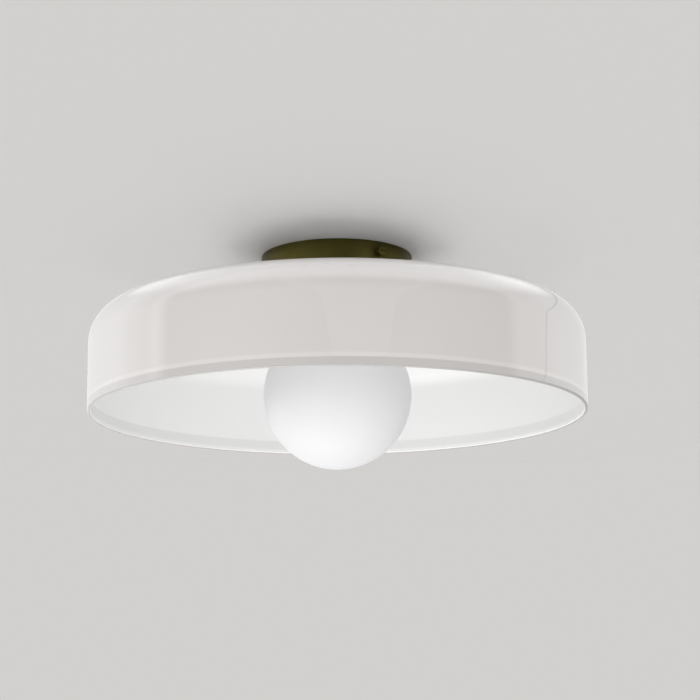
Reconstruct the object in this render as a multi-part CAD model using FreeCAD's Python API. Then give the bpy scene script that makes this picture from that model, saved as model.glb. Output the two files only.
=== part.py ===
import FreeCAD, Part
import math
import os

# A drum-shaped opal glass shade under a small metal ceiling canopy, lit by one globe lamp.
# Millimetres. The origin is on the ceiling plane, on the axis of the shade. +Z points up.
# The mounting strap, its slots and the two side screws lie along Y.

# glass shade
shade_radius = 210.0
shade_drop = 47.9
shade_height = 89.4
shade_shoulder = 30.6
glass_wall = 3.2
glass_hole_clearance = 1.4

# canopy
canopy_radius = 64.35
canopy_wall = 1.2
canopy_corner = 2.4
canopy_hole_clearance = 0.5

# gaskets
upper_gasket_thickness = 1.2
upper_gasket_inset = 2.6
lower_gasket_thickness = 1.0
gasket_hole_clearance = 0.4

# mounting strap, pressed from flat strip
strap_thickness = 1.5
strap_half_width = 13.0
strap_taper = 9.0
strap_bend = 2.5
ear_half_width = 6.0
ear_clearance = 0.1
slot_spacing = 70.0
slot_width = 5.0
slot_length = 15.0
cable_hole_radius = 5.2
tab_corner = 3.0
terminal_tab_overhang = 3.0
terminal_tab_half_width = 15.0
earth_tab_reach = 33.0
earth_tab_half_width = 8.0

# side screws, which hold the canopy on the strap
side_screw_drop = 9.5
side_screw_radius = 2.0
side_screw_length = 12.0
side_screw_head_radius = 3.75
side_screw_head_height = 5.0
side_screw_head_edge = 0.6
side_screw_slot_width = 1.0
side_screw_slot_depth = 1.2
side_washer_radius = 4.3
side_washer_thickness = 0.8
screw_clearance = 0.05
canopy_screw_clearance = 0.3
ear_nut_flats = 7.0
ear_nut_height = 3.2
hexagon_sides = 6

# lampholder: threaded shell, cap, ceramic core, brass screw shell and contacts
holder_radius = 20.0
holder_shell_bore = 18.4
holder_mouth_radius = 16.4
holder_mouth_projection = 0.5
holder_seam_height = 29.6
holder_seam_overlap = 3.0
holder_step_height = 4.1
holder_cap_gap = 4.0
holder_cap_headroom = 6.5
holder_cap_wall = 1.2
holder_cap_corner = 3.0
holder_cap_bore = 16.0
holder_cap_spigot_clearance = 0.05
core_clearance = 0.05
core_radius = 17.6
core_web = 4.9
core_skirt_radius = 15.2
shell_sheet = 0.4
shell_thread_clearance = 0.06
shell_flange_radius = 9.0
centre_contact_radius = 5.0
centre_contact_thickness = 0.75
holder_terminal_reach = 10.5
holder_terminal_side = 5.0
holder_terminal_bore = 1.2
holder_grub_radius = 1.0
holder_window_radius = 1.8

# ring nuts on the lampholder
ring_clearance = 0.05
upper_nut_radius = 26.0
upper_nut_height = 4.0
shade_ring_flange_radius = 28.0
shade_ring_flange = 2.0
shade_ring_body_radius = 24.5
shade_ring_height = 5.0
ring_notch_radius = 1.3
ring_notches = 12

# lamp: cap with a rolled thread, moulded collar, glass globe, stem with light sticks
globe_radius = 62.5
globe_wall = 1.0
globe_mouth_radius = 15.0
globe_crown_gap = 0.1
collar_radius = 14.0
collar_wall = 1.2
collar_cove = 3.5
collar_edge = 1.0
collar_spigot = 2.5
collar_clearance = 0.05
lamp_contact_gap = 0.05
lamp_tip_radius = 4.6
lamp_tip_height = 1.5
lamp_cap_rim = 0.6
lamp_cap_sheet = 0.5
lamp_cap_shoulder = 12.1
lamp_cap_crown = 3.1
lamp_cap_foot = 1.6
lamp_thread_pitch = 3.629
lamp_thread_mean_radius = 12.65
lamp_thread_rise = 0.55
lamp_thread_turns = 4
insulator_seat = 1.7
insulator_nose_radius = 5.0
insulator_height = 5.6
stem_flare_clearance = 0.05
stem_flare_height = 1.0
stem_flare_taper = 5.0
stem_tube_radius = 5.0
stem_tube_length = 22.0
stem_taper = 4.0
stem_post_radius = 1.5
stem_post_length = 50.0
stick_radius = 1.0
stick_circle = 8.0
stick_count = 4
stick_setback = 4.5
stick_length = 41.0
stick_wire_radius = 0.5
stick_wire_overrun = 1.0
board_width = 16.0
board_height = 16.0
board_thickness = 1.6

# terminal block under the strap's wide tab
block_entry_share = 0.38
block_width = 17.0
block_length = 28.0
block_height = 14.0
block_corner = 1.5
pole_pitch = 9.0
pole_count = 3
wire_entry_radius = 1.6
clamp_radius = 2.6
clamp_bore = 1.5
clamp_length = 11.0
clamp_screw_radius = 1.6
clamp_screw_offset = 3.3
clamp_screw_recess = 0.8
fixing_radius = 1.5
fixing_head_radius = 2.6
fixing_head_height = 2.3
fixing_thread_length = 1.2

# earth terminal on the strap's narrow tab
earth_screw_reach = 26.0
earth_screw_radius = 1.95
earth_head_radius = 3.5
earth_head_height = 2.4
earth_washer_radius = 4.2
earth_washer_thickness = 0.8
earth_screw_setback = 0.2
tag_radius = 3.8
tag_thickness = 0.8
tag_barrel_radius = 1.6
tag_barrel_bore = 1.0
tag_barrel_start = 31.0
tag_barrel_length = 7.0
tag_barrel_gap = 0.1

# internal leads
lead_radius = 0.95
lead_run_share = 0.45
lead_bend_share = 0.345
lead_wall_gap = 1.8
lead_turn_setback = 3.0
lead_insertion = 1.5
earth_drop_height = 27.0
earth_round_height = 32.0
earth_round_reach = 44.0
earth_side_reach = 38.0
earth_side_swing = 30.0
earth_rise_gap = 11.15
earth_rise_swing = 12.0
earth_rise_height = 12.0

# cutting tools run past the faces they cut by this much
overrun = 2.0
full_turn = 360.0
quarter_turn = 90.0

# levels worked out from the sizes above, as heights below the ceiling
rim_z = -(shade_drop + shade_height)
roof_under_z = -shade_drop - glass_wall
canopy_base_z = -shade_drop + upper_gasket_thickness
canopy_floor_z = canopy_base_z + canopy_wall
ring_top_z = roof_under_z - lower_gasket_thickness
ring_base_z = ring_top_z - shade_ring_height
mouth_z = ring_base_z - holder_mouth_projection
strap_under_z = -strap_thickness
wire_z = strap_under_z - block_height / 2
holder_cap_z = strap_under_z - holder_cap_gap
seam_z = mouth_z + holder_seam_height
core_top_z = holder_cap_z - holder_cap_headroom
core_foot_z = mouth_z + holder_step_height
web_under_z = core_top_z - core_web
lamp_tip_z = web_under_z - centre_contact_thickness - lamp_contact_gap
insulator_top_z = lamp_tip_z - lamp_tip_height
lamp_cap_top_z = insulator_top_z - insulator_height
thread_top_z = lamp_cap_top_z - lamp_cap_crown
thread_start_z = thread_top_z - lamp_thread_turns * lamp_thread_pitch
lamp_cap_base_z = thread_start_z - lamp_cap_foot
globe_centre_z = mouth_z - globe_crown_gap - globe_radius
stem_tube_z = lamp_cap_base_z - stem_flare_height - stem_flare_taper
stem_post_z = stem_tube_z - stem_tube_length - stem_taper
stick_top_z = stem_post_z - stick_setback
canopy_bore = canopy_radius - canopy_wall
ear_face = math.sqrt((canopy_bore - ear_clearance) ** 2 - ear_half_width ** 2)
spare_reach = canopy_bore - holder_radius - block_width
block_near_side = holder_radius + spare_reach * block_entry_share
block_far_side = block_near_side + block_width
block_middle = block_near_side + block_width / 2
terminal_tab_reach = block_far_side + terminal_tab_overhang
lead_stand_off = block_far_side + spare_reach * lead_bend_share
lead_side_swing = math.sqrt((canopy_bore - lead_wall_gap) ** 2 - lead_stand_off ** 2)
lead_turn_in = block_near_side - lead_turn_setback
earth_rise_reach = canopy_bore - earth_rise_gap
holder_terminal_angle = math.degrees(math.atan2(lead_side_swing, lead_turn_in))
holder_terminal_z = core_top_z + holder_terminal_side / 2

ORIGIN = FreeCAD.Vector(0, 0, 0)
UP = FreeCAD.Vector(0, 0, 1)
ALONG_X = FreeCAD.Vector(1, 0, 0)
ALONG_Y = FreeCAD.Vector(0, 1, 0)


def point(x, y, z):
    return FreeCAD.Vector(x, y, z)


def arc_to(centre_r, centre_z, radius, start, end):
    """One outline step along an arc, between two angles in degrees measured from outwards to upwards."""
    middle = math.radians((start + end) / 2)
    last = math.radians(end)
    return (
        centre_r + radius * math.cos(middle),
        centre_z + radius * math.sin(middle),
        centre_r + radius * math.cos(last),
        centre_z + radius * math.sin(last),
    )


def turned(steps):
    """Solid of revolution about Z. A step is (r, z) for a line or (middle r, middle z, r, z) for an arc."""
    edges = []
    here = point(steps[0][0], 0, steps[0][1])
    for step in steps[1:] + steps[:1]:
        there = point(step[-2], 0, step[-1])
        if len(step) == 4:
            middle = point(step[0], 0, step[1])
            edges.append(Part.Arc(here, middle, there).toShape())
        else:
            edges.append(Part.makeLine(here, there))
        here = there
    face = Part.Face(Part.Wire(edges))
    return face.revolve(ORIGIN, UP, full_turn)


def ring(inner, outer, low, high):
    """Plain round ring about Z."""
    return turned([(inner, low), (outer, low), (outer, high), (inner, high)])


def rod(radius, start, end):
    """Round rod between two points."""
    along = end - start
    return Part.makeCylinder(radius, along.Length, start, along)


def slab(low, high):
    """Box between its lowest and highest corners."""
    size = high - low
    return Part.makeBox(size.x, size.y, size.z, low)


def rounded_slab(low, high, corner):
    """Box with its upright edges rounded."""
    box = slab(low, high)
    upright = [e for e in box.Edges if abs(e.tangentAt(e.FirstParameter).z) > 0.5]
    return box.makeFillet(corner, upright)


def around_axis(shape, angle):
    """Copy of a shape, turned about Z."""
    copy = shape.copy()
    copy.rotate(ORIGIN, UP, angle)
    return copy


def across(shape):
    """Copy of a shape on the opposite side of the axis."""
    return around_axis(shape, full_turn / 2)


def save(name, solids):
    """Write one sub-part, a solid or a group of separate solids."""
    shape = solids[0] if len(solids) == 1 else Part.makeCompound(solids)
    if not shape.isValid():
        raise ValueError(name + " is not a valid shape")
    shape.exportStep("parts/" + name + ".step")
    print(name, len(solids), "solids", round(sum(s.Volume for s in solids), 1), "mm3")


def glass_shade():
    """One blown piece: flat roof with a centre hole, round shoulder, straight wall and a rounded lip."""
    shoulder_r = shade_radius - shade_shoulder
    shoulder_z = -shade_drop - shade_shoulder
    lip = glass_wall / 2
    hole = holder_radius + glass_hole_clearance
    return turned([
        (hole, -shade_drop),
        (shoulder_r, -shade_drop),
        arc_to(shoulder_r, shoulder_z, shade_shoulder, quarter_turn, 0),
        (shade_radius, rim_z + lip),
        arc_to(shade_radius - lip, rim_z + lip, lip, 0, -2 * quarter_turn),
        (shade_radius - glass_wall, shoulder_z),
        arc_to(shoulder_r, shoulder_z, shade_shoulder - glass_wall, 0, quarter_turn),
        (hole, roof_under_z),
    ])


def canopy():
    """Spun metal cup, open at the ceiling, with a hole for the lampholder and one for each side screw."""
    corner_r = canopy_radius - canopy_corner
    corner_z = canopy_base_z + canopy_corner
    hole = holder_radius + canopy_hole_clearance
    cup = turned([
        (canopy_radius, 0),
        (canopy_radius, corner_z),
        arc_to(corner_r, corner_z, canopy_corner, 0, -quarter_turn),
        (hole, canopy_base_z),
        (hole, canopy_floor_z),
        (corner_r, canopy_floor_z),
        arc_to(corner_r, corner_z, canopy_corner - canopy_wall, -quarter_turn, 0),
        (canopy_bore, 0),
    ])
    reach = canopy_radius + overrun
    screw_hole = rod(
        side_screw_radius + canopy_screw_clearance,
        point(0, -reach, -side_screw_drop),
        point(0, reach, -side_screw_drop),
    )
    return cup.cut(screw_hole)


def upper_gasket():
    outer = canopy_radius - upper_gasket_inset
    return ring(holder_radius + gasket_hole_clearance, outer, -shade_drop, canopy_base_z)


def lower_gasket():
    return ring(holder_radius + gasket_hole_clearance, shade_ring_flange_radius, ring_top_z, roof_under_z)


def strap_slot(y):
    """Tool for one slot along Y through the strap."""
    half = slot_length / 2 - slot_width / 2
    low = -strap_thickness - overrun
    depth = strap_thickness + 2 * overrun
    ends = [Part.makeCylinder(slot_width / 2, depth, point(0, y + side * half, low)) for side in (-1, 1)]
    middle = slab(point(-slot_width / 2, y - half, low), point(slot_width / 2, y + half, overrun))
    return ends[0].fuse([ends[1], middle])


def strap_ear():
    """The strip's end on the -Y side, bent down and rounded about the side screw."""
    bend_y = -ear_face + strap_bend
    inner_bend = strap_bend - strap_thickness
    inner_y = bend_y - inner_bend
    diagonal = math.sqrt(1 / 2)
    inner_middle = point(0, bend_y - inner_bend * diagonal, -strap_bend + inner_bend * diagonal)
    outer_middle = point(0, bend_y - strap_bend * diagonal, -strap_bend + strap_bend * diagonal)
    inner_top = point(0, bend_y, strap_under_z)
    outer_top = point(0, bend_y, 0)
    inner_side = point(0, inner_y, -strap_bend)
    outer_side = point(0, -ear_face, -strap_bend)
    inner_foot = point(0, inner_y, -side_screw_drop)
    outer_foot = point(0, -ear_face, -side_screw_drop)
    outline = [
        Part.makeLine(outer_top, inner_top),
        Part.Arc(inner_top, inner_middle, inner_side).toShape(),
        Part.makeLine(inner_side, inner_foot),
        Part.makeLine(inner_foot, outer_foot),
        Part.makeLine(outer_foot, outer_side),
        Part.Arc(outer_side, outer_middle, outer_top).toShape(),
    ]
    face = Part.Face(Part.Wire(outline))
    face.translate(point(-ear_half_width, 0, 0))
    bent = face.extrude(point(2 * ear_half_width, 0, 0))
    tip = rod(ear_half_width, outer_foot, outer_foot + ALONG_Y * strap_thickness)
    return bent.fuse(tip)


def mounting_strap():
    """Strap across the ceiling outlet, with a tab for the terminal block and one for the earth screw."""
    end_y = ear_face - strap_bend
    wide_y = end_y - strap_taper
    corners = [
        point(strap_half_width, -wide_y, 0),
        point(strap_half_width, wide_y, 0),
        point(ear_half_width, end_y, 0),
        point(-ear_half_width, end_y, 0),
        point(-strap_half_width, wide_y, 0),
        point(-strap_half_width, -wide_y, 0),
        point(-ear_half_width, -end_y, 0),
        point(ear_half_width, -end_y, 0),
    ]
    outline = Part.makePolygon(corners + corners[:1])
    plate = Part.Face(outline).extrude(point(0, 0, -strap_thickness))
    terminal_tab = rounded_slab(
        point(0, -terminal_tab_half_width, strap_under_z),
        point(terminal_tab_reach, terminal_tab_half_width, 0),
        tab_corner,
    )
    earth_tab = rounded_slab(
        point(-earth_tab_reach, -earth_tab_half_width, strap_under_z),
        point(0, earth_tab_half_width, 0),
        tab_corner,
    )
    ear = strap_ear()
    strap = plate.fuse([terminal_tab, earth_tab, ear, across(ear)])
    low = strap_under_z - overrun
    depth = strap_thickness + 2 * overrun
    cuts = [strap_slot(-slot_spacing / 2), strap_slot(slot_spacing / 2)]
    cuts.append(Part.makeCylinder(cable_hole_radius, depth, point(0, 0, low)))
    cuts.append(Part.makeCylinder(earth_screw_radius, depth, point(-earth_screw_reach, 0, low)))
    for y in fixing_places():
        cuts.append(Part.makeCylinder(fixing_radius, depth, point(block_middle, y, low)))
    cuts.append(rod(
        side_screw_radius + screw_clearance,
        point(0, -ear_face - overrun, -side_screw_drop),
        point(0, ear_face + overrun, -side_screw_drop),
    ))
    return strap.cut(cuts).removeSplitter()


def ear_nut():
    """Hexagon nut pressed on the inner face of the ear on the -Y side."""
    face_y = -ear_face + strap_thickness
    corner = ear_nut_flats / math.sqrt(3)
    corners = []
    for k in range(hexagon_sides):
        angle = math.radians(k * full_turn / hexagon_sides)
        corners.append(point(corner * math.cos(angle), face_y, -side_screw_drop + corner * math.sin(angle)))
    nut = Part.Face(Part.makePolygon(corners + corners[:1])).extrude(point(0, ear_nut_height, 0))
    bore = rod(
        side_screw_radius + screw_clearance,
        point(0, face_y - overrun, -side_screw_drop),
        point(0, face_y + ear_nut_height + overrun, -side_screw_drop),
    )
    return nut.cut(bore)


def side_washer():
    """Washer under the head of the side screw on the -Y side."""
    inner = point(0, -canopy_radius, -side_screw_drop)
    outer = point(0, -canopy_radius - side_washer_thickness, -side_screw_drop)
    disc = rod(side_washer_radius, inner, outer)
    along = (outer - inner).normalize() * overrun
    return disc.cut(rod(side_screw_radius + screw_clearance, inner - along, outer + along))


def side_screw():
    """Cylinder-head screw on the -Y side, with a driver slot."""
    seat = point(0, -canopy_radius - side_washer_thickness, -side_screw_drop)
    top = seat - ALONG_Y * side_screw_head_height
    head = rod(side_screw_head_radius, seat, top)
    rim = [e for e in head.Edges if e.Closed and e.BoundBox.YMax < seat.y - side_screw_head_edge]
    head = head.makeFillet(side_screw_head_edge, rim)
    slot_half = side_screw_slot_width / 2
    slot = slab(
        point(-side_screw_head_radius, top.y - overrun, -side_screw_drop - slot_half),
        point(side_screw_head_radius, top.y + side_screw_slot_depth, -side_screw_drop + slot_half),
    )
    shank = rod(side_screw_radius, seat, seat + ALONG_Y * side_screw_length)
    return head.cut(slot).fuse(shank).removeSplitter()


def lampholder_shell():
    """Threaded outer shell, open at the mouth, with a step that carries the ceramic core."""
    return turned([
        (holder_mouth_radius, mouth_z),
        (holder_radius, mouth_z),
        (holder_radius, seam_z),
        (holder_shell_bore, seam_z),
        (holder_shell_bore, core_foot_z),
        (holder_mouth_radius, core_foot_z),
    ])


def radial_hole(radius, reach, angle, z):
    """Tool for a round hole along a radius, at an angle from X."""
    hole = rod(radius, point(0, 0, z), point(reach, 0, z))
    return around_axis(hole, angle)


def lampholder_cap():
    """Round-topped cap that closes the lampholder, spigoted into the shell, with a window for each lead."""
    top_z = holder_cap_z
    corner_z = top_z - holder_cap_corner
    corner_r = holder_radius - holder_cap_corner
    spigot_r = holder_shell_bore - holder_cap_spigot_clearance
    bore_r = core_radius + core_clearance
    cap = turned([
        (0, top_z),
        (corner_r, top_z),
        arc_to(corner_r, corner_z, holder_cap_corner, quarter_turn, 0),
        (holder_radius, seam_z),
        (spigot_r, seam_z),
        (spigot_r, seam_z - holder_seam_overlap),
        (bore_r, seam_z - holder_seam_overlap),
        (bore_r, core_top_z),
        (holder_cap_bore, core_top_z),
        (holder_cap_bore, top_z - holder_cap_wall),
        (0, top_z - holder_cap_wall),
    ])
    reach = holder_radius + overrun
    windows = [
        radial_hole(holder_window_radius, reach, side * holder_terminal_angle, holder_terminal_z)
        for side in (-1, 1)
    ]
    return cap.cut(windows)


def lampholder_core():
    """Ceramic cup round the screw shell, with a web that carries the contacts."""
    bore = shell_mean_radius() + lamp_thread_rise + shell_sheet + core_clearance
    step_z = thread_start_z - shell_sheet
    return turned([
        (0, core_top_z),
        (core_radius, core_top_z),
        (core_radius, core_foot_z),
        (core_skirt_radius, core_foot_z),
        (core_skirt_radius, step_z),
        (bore, step_z),
        (bore, web_under_z),
        (0, web_under_z),
    ])


def thread_wave(mean_radius, start, direction):
    """Steps of the rolled lamp thread as closed waves, upwards for direction 1, downwards for -1."""
    steps = []
    quarter = direction * lamp_thread_pitch / 4
    for half in range(2 * lamp_thread_turns):
        swing = direction if half % 2 == 0 else -direction
        z = start + 2 * half * quarter
        steps.append((mean_radius + swing * lamp_thread_rise, z + quarter, mean_radius, z + 2 * quarter))
    return steps


def shell_mean_radius():
    return lamp_thread_mean_radius + shell_thread_clearance


def screw_shell():
    """Thin brass shell with the rolled thread that grips the lamp, flanged against the ceramic web."""
    inner = shell_mean_radius()
    outer = inner + shell_sheet
    low = thread_start_z
    high = thread_top_z
    bore = inner + lamp_thread_rise
    return turned(
        [(inner, low)]
        + thread_wave(inner, low, 1)
        + [
            (bore, high + lamp_thread_rise),
            (bore, web_under_z - shell_sheet),
            (shell_flange_radius, web_under_z - shell_sheet),
            (shell_flange_radius, web_under_z),
            (bore + shell_sheet, web_under_z),
            (bore + shell_sheet, high + lamp_thread_rise),
            (outer, high),
        ]
        + thread_wave(outer, high, -1)
    )


def centre_contact():
    """Brass contact under the web, dished towards the lamp's tip."""
    low = web_under_z - centre_contact_thickness
    return turned([
        (0, web_under_z),
        (centre_contact_radius, web_under_z),
        (centre_contact_radius, web_under_z - centre_contact_thickness / 2),
        (centre_contact_radius / 2, low),
        (0, low),
    ])


def holder_terminal():
    """Brass terminal on top of the core, on the X side, bored along the radius and from above."""
    half = holder_terminal_side / 2
    low = core_top_z
    body = slab(
        point(holder_terminal_reach - half, -half, low),
        point(holder_terminal_reach + half, half, low + holder_terminal_side),
    )
    wire_hole = rod(
        holder_terminal_bore,
        point(holder_terminal_reach - half / 2, 0, holder_terminal_z),
        point(holder_terminal_reach + half + overrun, 0, holder_terminal_z),
    )
    grub_hole = Part.makeCylinder(
        holder_grub_radius, half + overrun, point(holder_terminal_reach, 0, holder_terminal_z)
    )
    return body.cut([wire_hole, grub_hole])


def holder_grub():
    """Clamping screw of a holder terminal, bearing on the wire."""
    low = holder_terminal_z + lead_radius
    high = core_top_z + holder_terminal_side
    return Part.makeCylinder(holder_grub_radius, high - low, point(holder_terminal_reach, 0, low))


def notched(body, radius, low, high):
    """Ring with finger notches cut round its edge."""
    notch = Part.makeCylinder(ring_notch_radius, high - low + 2 * overrun, point(radius, 0, low - overrun))
    return body.cut([around_axis(notch, k * full_turn / ring_notches) for k in range(ring_notches)])


def upper_ring_nut():
    """Ring nut on the lampholder that bears on the canopy's floor."""
    low = canopy_floor_z
    high = low + upper_nut_height
    nut = ring(holder_radius + ring_clearance, upper_nut_radius, low, high)
    return notched(nut, upper_nut_radius, low, high)


def shade_ring():
    """Flanged ring nut that clamps the glass from below."""
    bore = holder_radius + ring_clearance
    flange_z = ring_top_z - shade_ring_flange
    flange = ring(bore, shade_ring_flange_radius, flange_z, ring_top_z)
    body = ring(bore, shade_ring_body_radius, ring_base_z, flange_z)
    grip = notched(body, shade_ring_body_radius, ring_base_z, flange_z - overrun)
    return flange.fuse(grip).removeSplitter()


def bulb_globe():
    """Round opal envelope with an open mouth, blown with an even wall."""
    lean = math.degrees(math.acos(globe_mouth_radius / globe_radius))
    inner_radius = globe_radius - globe_wall
    inner_lean = math.degrees(math.acos(globe_mouth_radius / inner_radius))
    mouth_top_z = globe_centre_z + globe_radius * math.sin(math.radians(lean))
    return turned([
        (globe_mouth_radius, mouth_top_z),
        arc_to(0, globe_centre_z, globe_radius, lean, -quarter_turn),
        (0, globe_centre_z - inner_radius),
        arc_to(0, globe_centre_z, inner_radius, -quarter_turn, inner_lean),
    ])


def bulb_collar():
    """Moulded collar between the lamp's cap and its globe, with a spigot in the globe's mouth."""
    seat_radius = globe_radius + collar_clearance
    spigot_r = globe_mouth_radius - collar_clearance
    edge_r = collar_radius + collar_cove
    edge_lean = math.degrees(math.acos(edge_r / seat_radius))
    spigot_lean = math.degrees(math.acos(spigot_r / seat_radius))
    seat_edge_z = globe_centre_z + seat_radius * math.sin(math.radians(edge_lean))
    seat_top_z = globe_centre_z + seat_radius * math.sin(math.radians(spigot_lean))
    cove_z = seat_edge_z + collar_edge + collar_cove
    bore = collar_radius - collar_wall
    return turned([
        (bore, lamp_cap_base_z),
        (collar_radius, lamp_cap_base_z),
        (collar_radius, cove_z),
        arc_to(edge_r, cove_z, collar_cove, 2 * quarter_turn, 3 * quarter_turn),
        (edge_r, seat_edge_z),
        arc_to(0, globe_centre_z, seat_radius, edge_lean, spigot_lean),
        (spigot_r, seat_top_z - collar_spigot),
        (bore, seat_top_z - collar_spigot),
    ])


def bulb_cap():
    """Thin metal cap of the lamp with its rolled thread."""
    base = lamp_cap_base_z
    inner = lamp_thread_mean_radius - lamp_cap_sheet
    bore = collar_radius - collar_wall
    rise = (lamp_thread_mean_radius - lamp_cap_shoulder) + thread_top_z
    return turned(
        [(bore, base), (collar_radius, base), (collar_radius, base + lamp_cap_rim)]
        + [(lamp_thread_mean_radius, base + 2 * lamp_cap_rim), (lamp_thread_mean_radius, thread_start_z)]
        + thread_wave(lamp_thread_mean_radius, thread_start_z, 1)
        + [
            (lamp_cap_shoulder, rise),
            (lamp_cap_shoulder, lamp_cap_top_z),
            (lamp_cap_shoulder - lamp_cap_sheet, lamp_cap_top_z),
            (lamp_cap_shoulder - lamp_cap_sheet, rise),
            (inner, thread_top_z),
        ]
        + thread_wave(inner, thread_top_z, -1)
        + [(inner, base + lamp_cap_rim), (bore, base + lamp_cap_rim)]
    )


def bulb_insulator():
    """Black glass insulator between the lamp's cap and its tip."""
    seat_r = lamp_cap_shoulder - lamp_cap_sheet
    return turned([
        (0, lamp_cap_top_z - insulator_seat),
        (seat_r, lamp_cap_top_z - insulator_seat),
        (seat_r, lamp_cap_top_z + lamp_cap_sheet),
        (insulator_nose_radius, insulator_top_z),
        (0, insulator_top_z),
    ])


def bulb_tip():
    """Domed solder contact on the lamp's end."""
    sphere = (lamp_tip_radius ** 2 + lamp_tip_height ** 2) / (2 * lamp_tip_height)
    centre_z = lamp_tip_z - sphere
    lean = math.degrees(math.asin((sphere - lamp_tip_height) / sphere))
    return turned([
        (0, insulator_top_z),
        (lamp_tip_radius, insulator_top_z),
        arc_to(0, centre_z, sphere, lean, quarter_turn),
    ])


def bulb_stem():
    """Glass stem held in the collar, with a thin post down to the middle of the globe."""
    flare_r = collar_radius - collar_wall - stem_flare_clearance
    return turned([
        (0, lamp_cap_base_z),
        (flare_r, lamp_cap_base_z),
        (flare_r, lamp_cap_base_z - stem_flare_height),
        (stem_tube_radius, stem_tube_z),
        (stem_tube_radius, stem_tube_z - stem_tube_length),
        (stem_post_radius, stem_post_z),
        (stem_post_radius, stem_post_z - stem_post_length),
        (0, stem_post_z - stem_post_length),
    ])


def stick_wires():
    """Short wires from the post to both ends of each light stick."""
    reach = stick_circle + stick_wire_overrun
    wires = []
    for z in (stick_top_z + stick_wire_radius, stick_top_z - stick_length - stick_wire_radius):
        wire = rod(stick_wire_radius, point(stem_post_radius, 0, z), point(reach, 0, z))
        wires += [around_axis(wire, k * full_turn / stick_count) for k in range(stick_count)]
    return wires


def light_sticks():
    """Light-emitting sticks, upright round the post."""
    stick = rod(
        stick_radius,
        point(stick_circle, 0, stick_top_z - stick_length),
        point(stick_circle, 0, stick_top_z),
    )
    return [around_axis(stick, k * full_turn / stick_count) for k in range(stick_count)]


def driver_board():
    """Small circuit board that stands on the stem inside the lamp's cap."""
    return slab(
        point(-board_width / 2, -board_thickness / 2, lamp_cap_base_z),
        point(board_width / 2, board_thickness / 2, lamp_cap_base_z + board_height),
    )


def pole_places():
    """Y of each pole of the terminal block."""
    return [(k - (pole_count - 1) / 2) * pole_pitch for k in range(pole_count)]


def fixing_places():
    """Y of each fixing screw, between the poles."""
    poles = pole_places()
    return [(a + b) / 2 for a, b in zip(poles, poles[1:])]


def clamp_screw_places():
    """(x, y) of each wire screw, two to a pole."""
    return [(block_middle + side * clamp_screw_offset, y) for y in pole_places() for side in (-1, 1)]


def terminal_block():
    """Moulded block with a stepped bore for each pole, wire screws from below and fixing screws between."""
    low = strap_under_z - block_height
    body = rounded_slab(
        point(block_near_side, -block_length / 2, low),
        point(block_far_side, block_length / 2, strap_under_z),
        block_corner,
    )
    cuts = []
    for y in pole_places():
        cuts.append(rod(
            wire_entry_radius,
            point(block_near_side - overrun, y, wire_z),
            point(block_far_side + overrun, y, wire_z),
        ))
        cuts.append(rod(
            clamp_radius,
            point(block_middle - clamp_length / 2, y, wire_z),
            point(block_middle + clamp_length / 2, y, wire_z),
        ))
    for x, y in clamp_screw_places():
        cuts.append(Part.makeCylinder(clamp_screw_radius, wire_z - low + overrun, point(x, y, low - overrun)))
    for y in fixing_places():
        below = point(block_middle, y, low - overrun)
        cuts.append(Part.makeCylinder(fixing_radius, block_height + 2 * overrun, below))
        cuts.append(Part.makeCylinder(fixing_head_radius, fixing_head_height + overrun, below))
    return body.cut(cuts)


def terminal_clamps():
    """Brass tube of each pole, drilled for its two wire screws."""
    clamps = []
    for y in pole_places():
        ends = [point(block_middle + side * clamp_length / 2, y, wire_z) for side in (-1, 1)]
        tube = rod(clamp_radius, ends[0], ends[1])
        bore = rod(clamp_bore, ends[0] - ALONG_X * overrun, ends[1] + ALONG_X * overrun)
        depth = clamp_radius + overrun
        holes = [
            Part.makeCylinder(clamp_screw_radius, depth, point(x, y, wire_z - depth))
            for x, hole_y in clamp_screw_places() if hole_y == y
        ]
        clamps.append(tube.cut([bore] + holes))
    return clamps


def clamp_screws():
    """Wire screws of the terminal block. Those on the lamp's side bear on the leads."""
    low = strap_under_z - block_height + clamp_screw_recess
    high = wire_z - lead_radius
    return [
        Part.makeCylinder(clamp_screw_radius, high - low, point(x, y, low))
        for x, y in clamp_screw_places()
    ]


def block_screws():
    """Screws that hold the terminal block under the strap's wide tab."""
    low = strap_under_z - block_height
    screws = []
    for y in fixing_places():
        head = Part.makeCylinder(fixing_head_radius, fixing_head_height, point(block_middle, y, low))
        shank_length = block_height + fixing_thread_length
        shank = Part.makeCylinder(fixing_radius, shank_length, point(block_middle, y, low))
        screws.append(head.fuse(shank).removeSplitter())
    return screws


def earth_tag():
    """Ring tag under the earth screw with a crimped barrel for the lead."""
    high = strap_under_z
    low = high - tag_thickness
    eye = Part.makeCylinder(tag_radius, tag_thickness, point(-earth_screw_reach, 0, low))
    neck = slab(
        point(-tag_barrel_start - tag_thickness, -tag_barrel_radius, low),
        point(-earth_screw_reach, tag_barrel_radius, high),
    )
    barrel_z = tag_barrel_z()
    start = point(-tag_barrel_start, 0, barrel_z)
    end = point(-tag_barrel_start - tag_barrel_length, 0, barrel_z)
    barrel = rod(tag_barrel_radius, start, end)
    bore = rod(tag_barrel_bore, start + ALONG_X * overrun, end - ALONG_X * overrun)
    hole = Part.makeCylinder(
        earth_screw_radius + screw_clearance,
        tag_thickness + 2 * overrun,
        point(-earth_screw_reach, 0, low - overrun),
    )
    return eye.fuse([neck, barrel]).cut([bore, hole]).removeSplitter()


def tag_barrel_z():
    return strap_under_z - tag_barrel_gap - tag_barrel_radius


def earth_washer():
    high = strap_under_z - tag_thickness
    low = high - earth_washer_thickness
    washer = ring(earth_screw_radius + screw_clearance, earth_washer_radius, low, high)
    washer.translate(point(-earth_screw_reach, 0, 0))
    return washer


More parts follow.
